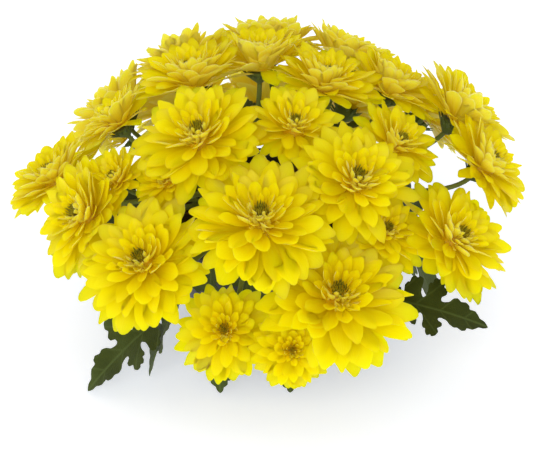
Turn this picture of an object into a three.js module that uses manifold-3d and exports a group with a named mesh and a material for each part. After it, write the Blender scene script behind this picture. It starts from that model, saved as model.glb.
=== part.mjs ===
// A potted chrysanthemum: a round pot with its soil, five rooted cuttings that branch into a low dome,
// and a double yellow bloom on the end of each branch.
// Millimetres, +Z up. The origin is the centre of the pot's foot, and the front of the plant is towards -Y.

import * as THREE from "three";
import { mergeVertices } from "three/addons/utils/BufferGeometryUtils.js";
import Module from "manifold-3d";

const wasm = await Module();
wasm.setup();

// Pot: thin moulded plastic with a collar round the rim.
const POT_HEIGHT = 84;
const POT_FOOT_RADIUS = 43;
const POT_COLLAR_RADIUS = 60;
const POT_COLLAR_HEIGHT = 11;
const POT_COLLAR_STEP = 3.5;
const POT_BEVEL = 1;
const POT_WALL = 1.8;
const POT_SIDES = 20;
const DRAIN_HOLES = 4;
const DRAIN_RADIUS = 5;
const DRAIN_CIRCLE = 27;
const DRAIN_SIDES = 10;

// Soil: fills the pot to a little under the rim.
const SOIL_TOP = 74;
const SOIL_MOUND = 4;
const SOIL_SHOULDER = [6, 2];
const SOIL_GAP = 0.42;
const GAP = 0.3;

// Cuttings: five, evenly round the pot, each with a foot in a hole in the soil.
const CUTTINGS = ["front", "right", "back_right", "back_left", "left"];
const CUTTING_CIRCLE = 30;
const CUTTING_DEPTH = 20;
const FORK_LOWEST = 82;
const FORK_STEP = 3;
const FOOT_RADIUS = 3.4;
const FOOT_SIDES = 6;
const BRANCH_RADIUS = 1.7;
const BRANCH_SIDES = 5;
const BRANCH_TAPER = 0.07;
const BRANCH_STEPS = 3;
// How a branch bends, as shares of its span: up and outwards as it leaves the stem, then in under the bloom.
const BRANCH_RISE = 0.22;
const BRANCH_OUT = 0.2;
const BRANCH_IN = 0.3;
const RIM_CLEARANCE = 4;
const STALK_HALF_WIDTH = 1;
const STALK_HALF_THICKNESS = 0.7;
const STALK_STRAIGHTNESS = 0.45;
const STALK_BURIED = 5;
const STALK_SPACING = 7;

// Blades: every petal and leaf is one thin blade.
const PETAL_THICKNESS = 0.8;
const LEAF_THICKNESS = 0.8;
const CLEARANCE = 0.45;
const FLOOR_CLEARANCE = 2;

// Blooms, most prominent first: azimuth in degrees, radius and height of the eye, diameter,
// lean of the axis outwards from upright in degrees, and how far the bloom has opened.
const BLOOMS = [
  ["low_middle", -84, 122, 65, 44, 46, 0.95],
  ["front_right", -71, 116, 93, 88, 26, 1],
  ["front_left", -125, 119, 106, 80, 34, 1],
  ["front_centre", -92, 100, 135, 86, 16, 1],
  ["low_right", -31, 124, 101, 74, 38, 1],
  ["upper_right", -57, 89, 143, 76, 26, 1],
  ["upper_left", -127, 63, 158, 80, 18, 1],
  ["low_left", -102, 112, 68, 58, 44, 0.95],
  ["middle_right", -49, 99, 111, 54, 34, 0.85],
  ["far_left", -152, 120, 110, 74, 52, 1],
  ["far_right", -9, 128, 124, 66, 42, 1],
  ["shoulder_right", 9, 117, 138, 76, 40, 1],
  ["top_middle", -70, 44, 159, 60, 14, 0.9],
  ["top_left", 155, 49, 161, 72, 10, 1],
  ["top_right", 13, 35, 164, 68, 10, 1],
  ["crown", 100, 30, 168, 70, 6, 1],
  ["inner_left", -133, 82, 134, 44, 32, 0.8],
  ["middle_left", -149, 99, 130, 44, 38, 0.8],
  ["edge_left", 167, 93, 132, 60, 36, 1],
  ["back_edge_left", 179, 126, 105, 68, 26, 1],
  ["inner_right", -22, 80, 142, 58, 32, 0.95],
  ["top_far_right", 16, 76, 154, 66, 26, 1],
  ["bud", 158, 94, 110, 30, 55, 0.3],
  ["back_crown_left", 130, 80, 152, 72, 28, 1],
  ["back_crown", 89, 78, 156, 72, 26, 1],
  ["back_crown_right", 54, 80, 154, 70, 28, 1],
  ["back_left", 143, 119, 113, 74, 50, 1],
  ["back_right", 34, 119, 116, 72, 48, 1],
  ["back_low_left", 118, 117, 103, 74, 54, 1],
  ["back_low", 92, 117, 98, 74, 56, 1],
  ["back_low_right", 63, 117, 104, 74, 54, 1],
];

// Petal layers of a bloom, outermost first, as shares of the bloom's radius; angles in degrees.
const LAYERS = [
  {
    petals: 10, ring: 0.27, height: 0, length: 0.84, width: 0.4,
    pitch: 2, spread: 12, arch: -20, flex: [-46, 17],
  },
  {
    petals: 8, ring: 0.2, height: 0.12, length: 0.7, width: 0.36,
    pitch: 30, spread: 7, arch: -16, flex: [22, 48],
  },
  {
    petals: 5, ring: 0.12, height: 0.22, length: 0.44, width: 0.28,
    pitch: 60, spread: 8, arch: 24, flex: [52, 74],
  },
];
// How much petals of one layer differ: length and width as shares, the rest in degrees.
const LENGTH_SPREAD = 0.07;
const WIDTH_SPREAD = 0.1;
const ARCH_SPREAD = 6;
const ROLL_SPREAD = 9;
const PHASE_SPREAD = 8;
const SMALL_BLOOM = 62;
const EYE_HEIGHT = 0.3;
const EYE_RING = 0.07;
const EYE_RING_HEIGHT = 0.28;
const PETAL_ROOT = 1;
const SHOULDER_AT = 0.68;
const SLOT_SHARE = 0.86;
const CLOSED_RISE = 34;
const ZONE_RADIUS = 0.3;
const ZONE_MOUTH = 0.345;
const ZONE_BELOW = 0.25;
const ZONE_ABOVE = 0.62;

// Calyx: the green cup under a bloom, as shares of the bloom's radius.
const CALYX_RADIUS = 0.2;
const CALYX_DEPTH = 0.22;

// Leaves that show at the front: azimuth, radius and height of the blade's base, then of its tip.
const SHOWN_LEAVES = [
  [-137, 81, 42, -144, 131, 11],
  [-131, 79, 50, -131, 99, 11],
  [-110, 78, 48, -108, 92, 9],
  [-82, 80, 46, -81, 88, 8],
  [-67, 80, 62, -68, 99, 36],
  [-55, 78, 64, -57, 104, 42],
  [-46, 98, 62, -33, 146, 56],
  [-51, 88, 82, -44, 119, 54],
];
// Leaves that hang between the pot's rim and the low blooms, and hide the pot.
const COVER_LEAVES = [
  [-138, 66, 80, -140, 74, 40],
  [-118, 66, 80, -118, 74, 40],
  [-98, 66, 80, -98, 74, 40],
  [-78, 66, 80, -78, 74, 40],
  [-58, 66, 80, -58, 74, 40],
];
// The rest of the leafy skirt goes round the sides and back by a rule.
const SKIRT_LEAVES = 12;
const SKIRT_START = -14;
const SKIRT_STEP = 18.5;
const SKIRT_BASE = [70, 84];
const SKIRT_TIP = [116, 40];
// Smaller leaves stand among the branches, under the blooms.
const INNER_LEAVES = 8;
const INNER_BASE = [52, 100];
const INNER_TIP = [84, 108];

// Half of a leaf's outline as shares of its length: rounded lobes with teeth between deep bays.
const TOOTHED_HALF = [
  [0, 0.025],
  [0.12, 0.07],
  [0.16, 0.28],
  [0.26, 0.29],
  [0.29, 0.1],
  [0.41, 0.38],
  [0.52, 0.34],
  [0.48, 0.11],
  [0.69, 0.19],
  [0.89, 0.1],
];
const PLAIN_HALF = [
  [0, 0.025],
  [0.18, 0.28],
  [0.34, 0.1],
  [0.56, 0.34],
  [0.62, 0.12],
  [0.86, 0.17],
];
const MIDRIB = [
  [0, 0],
  [0.29, 0],
  [0.5, 0],
  [0.75, 0],
  [1, 0],
];
const LEAF_DROOP = 0.16;
const LEAF_FOLD = 0.22;
const LEAF_TILT = 0.7;

const YELLOW = new THREE.MeshStandardMaterial({ color: 0xf0cf08, roughness: 0.6, metalness: 0 });
const GREEN = new THREE.MeshStandardMaterial({ color: 0x47552a, roughness: 0.6, metalness: 0 });
const PEAT = new THREE.MeshStandardMaterial({ color: 0x3a2a1e, roughness: 0.95, metalness: 0 });
const PLASTIC = new THREE.MeshStandardMaterial({ color: 0x33302e, roughness: 0.5, metalness: 0 });

const BLOOM_SEED = 101;
const LEAF_SEED = 4711;

const UP = new THREE.Vector3(0, 0, 1);
const radians = THREE.MathUtils.degToRad;

function polar(azimuth, radius, height) {
  const angle = radians(azimuth);
  return new THREE.Vector3(radius * Math.cos(angle), radius * Math.sin(angle), height);
}

// A seeded draw between -1 and 1, the same on every run.
const DRAW_STEP = 16807;
const DRAW_RANGE = 2147483647;

function seeded(seed) {
  let state = seed;
  return () => {
    state = (state * DRAW_STEP) % DRAW_RANGE;
    return (2 * state) / DRAW_RANGE - 1;
  };
}

// A closed surface under construction: points and the triangles between them.
class Skin {
  points = [];
  faces = [];

  point(position) {
    this.points.push(position);
    return this.points.length - 1;
  }

  face(a, b, c) {
    this.faces.push([a, b, c]);
  }

  quad(a, b, c, d) {
    this.face(a, b, c);
    this.face(a, c, d);
  }

  moved(matrix) {
    const copy = new Skin();
    copy.points = this.points.map((p) => p.clone().applyMatrix4(matrix));
    copy.faces = this.faces;
    return copy;
  }

  geometry() {
    const flat = this.points.flatMap((p) => [p.x, p.y, p.z]);
    const geometry = new THREE.BufferGeometry();
    geometry.setAttribute("position", new THREE.Float32BufferAttribute(flat, 3));
    geometry.setIndex(this.faces.flat());
    return geometry;
  }
}

// Joining and cutting closed shapes.
function solid(geometry) {
  const bare = geometry.clone();
  bare.deleteAttribute("normal");
  bare.deleteAttribute("uv");
  const merged = mergeVertices(bare, 1e-4);
  return new wasm.Manifold(
    new wasm.Mesh({
      numProp: 3,
      vertProperties: new Float32Array(merged.attributes.position.array),
      triVerts: new Uint32Array(merged.index.array),
    }),
  );
}

function shape(manifold) {
  const mesh = manifold.getMesh();
  const geometry = new THREE.BufferGeometry();
  geometry.setAttribute("position", new THREE.BufferAttribute(mesh.vertProperties, 3));
  geometry.setIndex(new THREE.BufferAttribute(mesh.triVerts, 1));
  return geometry;
}

// Does the segment from a to b pass through the triangle p, q, r?
const edge1 = new THREE.Vector3();
const edge2 = new THREE.Vector3();
const along = new THREE.Vector3();
const side = new THREE.Vector3();
const cross = new THREE.Vector3();

function pierces(a, b, [p, q, r]) {
  along.subVectors(b, a);
  edge1.subVectors(q, p);
  edge2.subVectors(r, p);
  cross.crossVectors(along, edge2);
  const scale = edge1.dot(cross);
  if (Math.abs(scale) < 1e-9) return false;
  side.subVectors(a, p);
  const u = side.dot(cross) / scale;
  if (u < 0 || u > 1) return false;
  cross.crossVectors(side, edge1);
  const v = along.dot(cross) / scale;
  if (v < 0 || u + v > 1) return false;
  const t = edge2.dot(cross) / scale;
  return t >= 0 && t <= 1;
}

// A clump is a few triangles with the ball that holds them, and says which piece they belong to.
function clump(skin, owner) {
  const triangles = skin.faces.map((face) => face.map((index) => skin.points[index]));
  const ball = new THREE.Box3().setFromPoints(skin.points).getBoundingSphere(new THREE.Sphere());
  return { triangles, ball, owner };
}

function touches(one, other) {
  if (!one.ball.intersectsSphere(other.ball)) return false;
  const through = (from, into) => from.some(([a, b, c]) =>
    into.some((t) => pierces(a, b, t) || pierces(b, c, t) || pierces(c, a, t)));
  const near = (list, ball) => list.filter((t) => new THREE.Triangle(...t)
    .closestPointToPoint(ball.center, side).distanceTo(ball.center) <= ball.radius);
  const mine = near(one.triangles, other.ball);
  const theirs = near(other.triangles, one.ball);
  return through(mine, theirs) || through(theirs, mine);
}

// Everything that has its place so far. A new blade is bent until it is clear of all of it.
const taken = [];

function isClear(skin, spare) {
  const lowest = Math.min(...skin.points.map((p) => p.z));
  if (lowest < FLOOR_CLEARANCE) return false;
  const mine = clump(skin);
  return !taken.some((other) => !spare(other.owner) && touches(mine, other));
}

// A tube round a line of points, with a radius at each point and flat ends.
function tube(line, radii, sides) {
  const skin = new Skin();
  const rings = [];
  let across = new THREE.Vector3(1, 0.2, 0);
  line.forEach((centre, i) => {
    const before = line[Math.max(i - 1, 0)];
    const after = line[Math.min(i + 1, line.length - 1)];
    const direction = after.clone().sub(before).normalize();
    across = across.clone().addScaledVector(direction, -across.dot(direction)).normalize();
    const beside = direction.clone().cross(across);
    const ring = [];
    for (let k = 0; k < sides; k++) {
      const angle = (2 * Math.PI * k) / sides;
      ring.push(skin.point(centre.clone()
        .addScaledVector(across, radii[i] * Math.cos(angle))
        .addScaledVector(beside, radii[i] * Math.sin(angle))));
    }
    rings.push(ring);
  });
  for (let i = 1; i < rings.length; i++) {
    for (let k = 0; k < sides; k++) {
      const next = (k + 1) % sides;
      skin.quad(rings[i - 1][k], rings[i - 1][next], rings[i][next], rings[i][k]);
    }
  }
  const last = rings[rings.length - 1];
  for (let k = 1; k < sides - 1; k++) {
    skin.face(rings[0][0], rings[0][k + 1], rings[0][k]);
    skin.face(last[0], last[k], last[k + 1]);
  }
  return skin;
}

const POT_NECK = POT_COLLAR_RADIUS - POT_COLLAR_STEP;
const POT_UNDER = POT_HEIGHT - POT_COLLAR_HEIGHT;

function turned(profile) {
  const points = profile.map(([radius, height]) => new THREE.Vector2(radius, height));
  return new THREE.LatheGeometry(points, POT_SIDES).rotateX(Math.PI / 2);
}

// An upright rod to cut a round hole with.
function rod(radius, length, sides, centre) {
  const cylinder = new THREE.CylinderGeometry(radius, radius, length, sides);
  return solid(cylinder.rotateX(Math.PI / 2).translate(centre.x, centre.y, centre.z));
}

// Pot: a turned profile closed on the axis, with drain holes clear of the centre.
function pot() {
  const profile = [
    [0, 0],
    [POT_FOOT_RADIUS - POT_BEVEL, 0],
    [POT_FOOT_RADIUS, POT_BEVEL],
    [POT_NECK, POT_UNDER],
    [POT_COLLAR_RADIUS - POT_BEVEL / 2, POT_UNDER],
    [POT_COLLAR_RADIUS, POT_HEIGHT - POT_BEVEL],
    [POT_COLLAR_RADIUS - POT_BEVEL, POT_HEIGHT],
    [POT_COLLAR_RADIUS - POT_WALL - POT_BEVEL, POT_HEIGHT],
    [POT_NECK - POT_WALL, POT_UNDER],
    [POT_FOOT_RADIUS - POT_WALL, POT_WALL],
    [0, POT_WALL],
  ];
  let made = solid(turned(profile));
  for (let i = 0; i < DRAIN_HOLES; i++) {
    const centre = polar((360 * (i + 0.5)) / DRAIN_HOLES, DRAIN_CIRCLE, 0);
    made = made.subtract(rod(DRAIN_RADIUS, 4 * POT_WALL, DRAIN_SIDES, centre));
  }
  return shape(made);
}

// Soil: the plug inside the pot, a touch smaller than it, with a plain hole for each cutting.
function soil() {
  const bottom = POT_WALL + GAP;
  const slope = (POT_NECK - POT_FOOT_RADIUS) / (POT_UNDER - POT_WALL);
  const edge = (height) => POT_FOOT_RADIUS - POT_WALL + slope * (height - POT_WALL) - SOIL_GAP;
  const [shoulder, drop] = SOIL_SHOULDER;
  const rim = SOIL_TOP - drop;
  const profile = [
    [0, bottom],
    [edge(bottom), bottom],
    [edge(rim), rim],
    [edge(rim) - shoulder, SOIL_TOP],
    [0, SOIL_TOP + SOIL_MOUND],
  ];
  let made = solid(turned(profile));
  CUTTINGS.forEach((name, i) => {
    const centre = polar(cuttingAzimuth(i), CUTTING_CIRCLE, SOIL_TOP);
    made = made.subtract(rod(FOOT_RADIUS + 2 * GAP, 2 * CUTTING_DEPTH, 2 * FOOT_SIDES, centre));
  });
  return shape(made);
}

function cuttingAzimuth(index) {
  return -90 + (360 / CUTTINGS.length) * index;
}

// The cutting in whose share of the circle an angle falls.
function sector(angle) {
  const share = (2 * Math.PI) / CUTTINGS.length;
  const turn = angle + Math.PI / 2 + share / 2 + 2 * Math.PI;
  return Math.floor(turn / share) % CUTTINGS.length;
}

// A bloom's frame: its own +Z is its axis, and its origin is where the outer petals root.
function bloomStation([name, azimuth, radius, height, diameter, lean, openness]) {
  const outward = polar(azimuth, 1, 0);
  const axis = outward.clone().multiplyScalar(Math.sin(radians(lean)));
  axis.addScaledVector(UP, Math.cos(radians(lean)));
  const size = diameter / 2;
  const origin = polar(azimuth, radius, height).addScaledVector(axis, -EYE_HEIGHT * size);
  const beside = UP.clone().cross(outward);
  const frame = new THREE.Matrix4().makeBasis(beside.clone().cross(axis), beside, axis);
  frame.setPosition(origin);
  return { name, axis, size, origin, frame, openness, cutting: sector(radians(azimuth)) };
}

// The space that a bloom's heart and calyx keep for themselves.
function heartZone(bloom) {
  const skin = tube(
    [new THREE.Vector3(0, 0, -ZONE_BELOW * bloom.size), new THREE.Vector3(0, 0, ZONE_ABOVE * bloom.size)],
    [ZONE_RADIUS * bloom.size, ZONE_MOUTH * bloom.size],
    6,
  );
  return skin.moved(bloom.frame);
}

// A layer's ring of valleys, where neighbouring petals meet: each has an upper and a lower point.
function valleys(skin, bloom, layer, count, phase) {
  const ring = layer.ring * bloom.size;
  const height = layer.height * bloom.size;
  const pitch = radians(layer.pitch);
  const upper = [];
  const lower = [];
  for (let i = 0; i < count; i++) {
    const azimuth = phase + (360 * i) / count;
    upper.push(skin.point(polar(azimuth, ring, height)));
    lower.push(skin.point(polar(
      azimuth,
      ring + PETAL_ROOT * Math.sin(pitch),
      height - PETAL_ROOT * Math.cos(pitch),
    )));
  }
  return { upper, lower, count, phase };
}

// The free outline of one petal: left shoulder, tip and right shoulder, above and below.
// The shoulders keep within the petal's own slot round the ring.
function petalOutline(bloom, layer, petal, grow) {
  const slot = Math.PI / petal.count;
  const outward = polar(petal.azimuth, 1, 0);
  const beside = polar(petal.azimuth + 90, 1, 0);
  const rise = (pitch) => {
    return outward.clone().multiplyScalar(Math.cos(pitch)).addScaledVector(UP, Math.sin(pitch));
  };
  const pitch = radians(petal.pitch);
  const normal = rise(pitch + Math.PI / 2);
  const length = petal.length * bloom.size;
  const root = outward.clone().multiplyScalar(layer.ring * bloom.size * Math.cos(slot));
  root.addScaledVector(UP, layer.height * bloom.size);
  const middle = root.addScaledVector(rise(pitch), SHOULDER_AT * length);
  const reach = Math.hypot(middle.x, middle.y);
  const room = SLOT_SHARE * reach * Math.tan(slot) - PETAL_THICKNESS / 2;
  const half = Math.min((petal.width * bloom.size) / 2, room);
  const roll = radians(petal.roll);
  const across = beside.clone().multiplyScalar(Math.cos(roll)).addScaledVector(normal, Math.sin(roll));
  const bend = pitch + radians(petal.arch);
  const tip = middle.clone().addScaledVector(rise(bend), (1 - SHOULDER_AT) * length + grow);
  const outline = [
    middle.clone().addScaledVector(across, -half - grow),
    tip,
    middle.clone().addScaledVector(across, half + grow),
  ];
  const lift = PETAL_THICKNESS / 2 + grow;
  return {
    above: outline.map((p) => p.clone().addScaledVector(normal, lift)),
    below: outline.map((p) => p.clone().addScaledVector(normal, -lift)),
  };
}

// Both faces of a petal and its rim, from the two valleys that it grows between.
function petalFaces(skin, outline, upper, lower) {
  const [a, tip, b] = outline.above.map((p) => skin.point(p));
  const [c, point, d] = outline.below.map((p) => skin.point(p));
  skin.quad(upper[0], a, b, upper[1]);
  skin.face(a, tip, b);
  skin.quad(lower[0], lower[1], d, c);
  skin.face(c, d, point);
  const rimAbove = [upper[0], a, tip, b, upper[1]];
  const rimBelow = [lower[0], c, point, d, lower[1]];
  for (let i = 1; i < rimAbove.length; i++) {
    skin.quad(rimAbove[i - 1], rimBelow[i - 1], rimBelow[i], rimAbove[i]);
  }
}

// A closed copy of one petal by itself, grown by the clearance, for testing its place.
function petalProbe(bloom, layer, petal, ring, index, skin, grow) {
  const probe = new Skin();
  const next = (index + 1) % ring.count;
  const upper = [ring.upper[index], ring.upper[next]].map((i) => probe.point(skin.points[i]));
  const lower = [ring.lower[index], ring.lower[next]].map((i) => probe.point(skin.points[i]));
  petalFaces(probe, petalOutline(bloom, layer, petal, grow), upper, lower);
  return probe.moved(bloom.frame);
}

// The bends in degrees and the shares of its length that a petal tries in turn.
const BENDS = [0, 7, -7, 14, -14, 21, -21, -28, -36, -44];
const LENGTHS = [1, 0.9, 0.8, 0.7, 0.6, 0.5, 0.4, 0.3, 0.22];

// One petal, bent up or down and then shortened until it is clear of everything in place.
function fitPetal(bloom, layer, wanted, ring, index, skin) {
  const own = `${bloom.name} ${layer.ring}`;
  const spare = (owner) => owner === own || owner === `${bloom.name} heart`;
  const [lowest, highest] = layer.flex;
  const rise = (1 - bloom.openness) * CLOSED_RISE;
  for (const share of LENGTHS) {
    for (const bend of BENDS) {
      const pitch = THREE.MathUtils.clamp(wanted.pitch + bend, lowest, highest) + rise;
      const [length, width] = [wanted.length * share, wanted.width * Math.sqrt(share)];
      const petal = { ...wanted, pitch, length, width };
      const probe = petalProbe(bloom, layer, petal, ring, index, skin, CLEARANCE);
      if (isClear(probe, spare)) {
        taken.push(clump(petalProbe(bloom, layer, petal, ring, index, skin, 0), own));
        return petal;
      }
    }
  }
  throw new Error(`a petal of ${bloom.name} finds no room`);
}

// Joins two rings of points, with any number in each, into a band that faces out and up.
function band(skin, outer, inner) {
  let i = 0;
  let j = 0;
  const angleOf = (ring, k) => ring.phase + (360 * k) / ring.count;
  while (i < outer.count || j < inner.count) {
    const a = outer.points[i % outer.count];
    const b = inner.points[j % inner.count];
    const forward = j >= inner.count || (i < outer.count && angleOf(outer, i + 1) <= angleOf(inner, j + 1));
    if (forward) {
      skin.face(a, outer.points[(i + 1) % outer.count], b);
      i += 1;
    } else {
      skin.face(a, inner.points[(j + 1) % inner.count], b);
      j += 1;
    }
  }
}

// A bloom: three layers of petals on a stepped core, closed below and domed at the eye.
function growBloom(bloom, seed) {
  const draw = seeded(seed);
  const skin = new Skin();
  const small = 2 * bloom.size < SMALL_BLOOM;
  const rings = LAYERS.map((layer) => {
    const count = layer.petals - (small ? 1 : 0) - (small && layer === LAYERS[0] ? 1 : 0);
    return valleys(skin, bloom, layer, count, PHASE_SPREAD * draw());
  });
  for (let l = LAYERS.length - 1; l >= 0; l--) {
    const layer = LAYERS[l];
    const ring = rings[l];
    for (let i = 0; i < ring.count; i++) {
      const wanted = {
        count: ring.count,
        azimuth: ring.phase + (360 * (i + 0.5)) / ring.count,
        pitch: layer.pitch + layer.spread * draw(),
        length: layer.length * (1 + LENGTH_SPREAD * draw()),
        width: layer.width * (1 + WIDTH_SPREAD * draw()),
        arch: layer.arch + ARCH_SPREAD * draw(),
        roll: ROLL_SPREAD * draw(),
      };
      const petal = fitPetal(bloom, layer, wanted, ring, i, skin);
      const next = (i + 1) % ring.count;
      petalFaces(
        skin,
        petalOutline(bloom, layer, petal, 0),
        [ring.upper[i], ring.upper[next]],
        [ring.lower[i], ring.lower[next]],
      );
    }
  }
  const base = skin.point(new THREE.Vector3(0, 0, -PETAL_ROOT));
  const outer = rings[0];
  outer.lower.forEach((point, i) => skin.face(base, outer.lower[(i + 1) % outer.count], point));
  for (let l = 1; l < rings.length; l++) {
    band(skin, { ...rings[l - 1], points: rings[l - 1].upper }, { ...rings[l], points: rings[l].lower });
  }
  const inner = rings[rings.length - 1];
  const eye = [];
  for (let i = 0; i < inner.count; i++) {
    const azimuth = inner.phase + (360 * i) / inner.count;
    eye.push(skin.point(polar(azimuth, EYE_RING * bloom.size, EYE_RING_HEIGHT * bloom.size)));
  }
  const top = skin.point(new THREE.Vector3(0, 0, EYE_HEIGHT * bloom.size));
  for (let i = 0; i < inner.count; i++) {
    const next = (i + 1) % inner.count;
    skin.quad(inner.upper[i], inner.upper[next], eye[next], eye[i]);
    skin.face(eye[i], eye[next], top);
  }
  return skin.moved(bloom.frame);
}

// The line of a branch: out of the main stem at its own height, over the pot's rim, and in under the bloom.
function branchLine(bloom) {
  const start = polar(cuttingAzimuth(bloom.cutting), CUTTING_CIRCLE, FORK_LOWEST + FORK_STEP * bloom.rank);
  const top = bloom.origin.clone().addScaledVector(bloom.axis, -PETAL_ROOT - GAP);
  const neck = top.clone().addScaledVector(bloom.axis, -CALYX_DEPTH * bloom.size);
  const span = neck.distanceTo(start);
  const heading = neck.clone().sub(start).setZ(0).normalize();
  const outOf = start.clone().addScaledVector(UP, BRANCH_RISE * span);
  outOf.addScaledVector(heading, BRANCH_OUT * span);
  const into = neck.clone().addScaledVector(bloom.axis, -BRANCH_IN * span);
  const inner = POT_COLLAR_RADIUS - POT_COLLAR_STEP - 2 * RIM_CLEARANCE;
  const outer = POT_COLLAR_RADIUS + RIM_CLEARANCE;
  const clear = (point) => {
    const radius = Math.hypot(point.x, point.y);
    return radius < inner || radius > outer || point.z > POT_HEIGHT + RIM_CLEARANCE;
  };
  const curve = new THREE.CubicBezierCurve3(start, outOf, into, neck);
  while (!curve.getPoints(24).every(clear)) {
    outOf.z += RIM_CLEARANCE;
    into.z += RIM_CLEARANCE;
  }
  return { curve, top };
}

function branch(bloom) {
  const { curve, top } = branchLine(bloom);
  const line = curve.getPoints(BRANCH_STEPS);
  line.slice(1).forEach((point, i) => stretches[bloom.cutting].push([line[i], point]));
  const radii = line.map((point, i) => BRANCH_RADIUS * (1 - BRANCH_TAPER * i));
  line.push(top.clone().addScaledVector(bloom.axis, (-CALYX_DEPTH * bloom.size) / 2), top);
  radii.push(0.8 * CALYX_RADIUS * bloom.size, CALYX_RADIUS * bloom.size);
  return tube(line, radii, BRANCH_SIDES);
}

// A leaf on its stalk, pointing along +X from the blade's base at the origin. The outline is split alike on
// both faces, folded along the midrib and drooping to the tip. The stalk runs back to the given point.
function leafSkin(half, length, grow, stalk) {
  const skin = new Skin();
  const place = (u, v, offset) => {
    const height = LEAF_FOLD * Math.abs(v) - LEAF_DROOP * u * u;
    return new THREE.Vector3(u * length, v * length, height * length + offset);
  };
  const lift = LEAF_THICKNESS / 2 + grow;
  const pair = (u, v) => [skin.point(place(u, v, lift)), skin.point(place(u, v, -lift))];
  const rib = MIDRIB.map(([u, v]) => pair(u, v));
  const halves = [1, -1].map((mirror) => {
    const edge = half.map(([u, v]) => pair(u, mirror * v));
    const outline = [...half, ...MIDRIB.slice().reverse()].map(([u, v]) => new THREE.Vector2(u, v));
    const round = [...edge, ...rib.slice().reverse()];
    for (const corners of THREE.ShapeUtils.triangulateShape(outline, [])) {
      const area = THREE.ShapeUtils.area(corners.map((k) => outline[k]));
      const [a, b, c] = area * mirror > 0 ? corners : corners.slice().reverse();
      skin.face(round[a][0], round[b][0], round[c][0]);
      skin.face(round[a][1], round[c][1], round[b][1]);
    }
    const rim = [...edge, rib[rib.length - 1]];
    for (let i = 1; i < rim.length; i++) {
      const [from, to] = mirror > 0 ? [rim[i - 1], rim[i]] : [rim[i], rim[i - 1]];
      skin.quad(from[0], to[0], to[1], from[1]);
    }
    return edge[0];
  });
  const heel = [halves[0][0], rib[0][0], halves[1][0], halves[1][1], rib[0][1], halves[0][1]];
  const back = stalk.clone().negate().normalize();
  const across = new THREE.Vector3(0, 1, 0).addScaledVector(back, -back.y).normalize();
  const normal = back.clone().cross(across);
  const root = [[1, 1], [0, 1], [-1, 1], [-1, -1], [0, -1], [1, -1]].map(([y, z]) => skin.point(stalk.clone()
    .addScaledVector(across, y * (STALK_HALF_WIDTH + grow))
    .addScaledVector(normal, z * (STALK_HALF_THICKNESS + grow))));
  for (let k = 0; k < heel.length; k++) {
    const next = (k + 1) % heel.length;
    skin.quad(root[k], root[next], heel[next], heel[k]);
    if (k > 0 && next > 0) skin.face(root[0], root[next], root[k]);
  }
  return skin;
}

// The turns in degrees, lifts of the tip and shares of its length that a leaf tries in turn.
const ROLLS = [0, 14, -14, 28, -28];
const SWINGS = [0, 7, -7, 14, -14];
const LIFTS = [0, 8, -8, 16, -16, 26];
const SHRINKS = [1, 0.88, 0.76, 0.64];

// A leaf, swung, tilted and at last made smaller until it is clear of all but the branch it grows on.
function growLeaf(half, base, tip) {
  const cutting = sector(Math.atan2(base.y + tip.y, base.x + tip.x));
  const root = stalkRoot(cutting, base, tip);
  for (const shrink of SHRINKS) {
    for (const lift of LIFTS) {
      for (const swing of SWINGS) {
        for (const roll of ROLLS) {
          const reach = tip.clone().applyAxisAngle(UP, radians(swing));
          const end = base.clone().lerp(reach, shrink).addScaledVector(UP, lift);
          const heading = end.clone().sub(base).normalize();
          const outward = new THREE.Vector3(base.x + tip.x, base.y + tip.y, 0).normalize();
          const normal = UP.clone().addScaledVector(outward, LEAF_TILT);
          normal.addScaledVector(heading, -normal.dot(heading)).normalize();
          normal.applyAxisAngle(heading, radians(roll));
          const frame = new THREE.Matrix4().makeBasis(heading, normal.clone().cross(heading), normal);
          frame.setPosition(base);
          const length = end.distanceTo(base);
          const stalk = root.clone().applyMatrix4(frame.clone().invert());
          const short = stalk.clone().multiplyScalar(1 - STALK_BURIED / stalk.length());
          if (isClear(leafSkin(half, length, CLEARANCE, short).moved(frame), () => false)) {
            const leaf = leafSkin(half, length, 0, stalk).moved(frame);
            taken.push(clump(leaf, "leaf"));
            green[cutting].push(leaf);
            stalkRoots.push(root);
            return;
          }
        }
      }
    }
  }
}

// The straight stretches of each cutting's branches, and the places on them where stalks grow.
const stretches = CUTTINGS.map(() => []);
const stalkRoots = [];

// The nearest place on a branch that lies behind the leaf, for its stalk to grow from.
function stalkRoot(cutting, base, tip) {
  const heading = tip.clone().sub(base).normalize();
  let best = null;
  for (const [from, to] of stretches[cutting]) {
    for (let share = 0.1; share < 1; share += 0.2) {
      const point = from.clone().lerp(to, share);
      if (stalkRoots.some((other) => other.distanceTo(point) < STALK_SPACING)) continue;
      const length = point.distanceTo(base);
      const straightness = base.clone().sub(point).dot(heading) / length;
      const cost = length * (straightness > STALK_STRAIGHTNESS ? 1 : 5);
      if (!best || cost < best.cost) best = { point, cost };
    }
  }
  return best.point;
}

function named(name, geometry, material) {
  const mesh = new THREE.Mesh(geometry, material);
  mesh.name = name;
  return mesh;
}

// Pot and soil first, then the branches, the leaves that show, the blooms and the other leaves.
const plant = new THREE.Group();
const potShape = pot();
plant.add(named("pot", potShape, PLASTIC));
plant.add(named("soil", soil(), PEAT));

function asSkin(geometry) {
  const skin = new Skin();
  const place = geometry.attributes.position;
  for (let i = 0; i < place.count; i++) skin.point(new THREE.Vector3().fromBufferAttribute(place, i));
  for (let i = 0; i < geometry.index.count; i += 3) skin.face(...geometry.index.array.slice(i, i + 3));
  return skin;
}

taken.push(clump(asSkin(potShape), "pot"));

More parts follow.
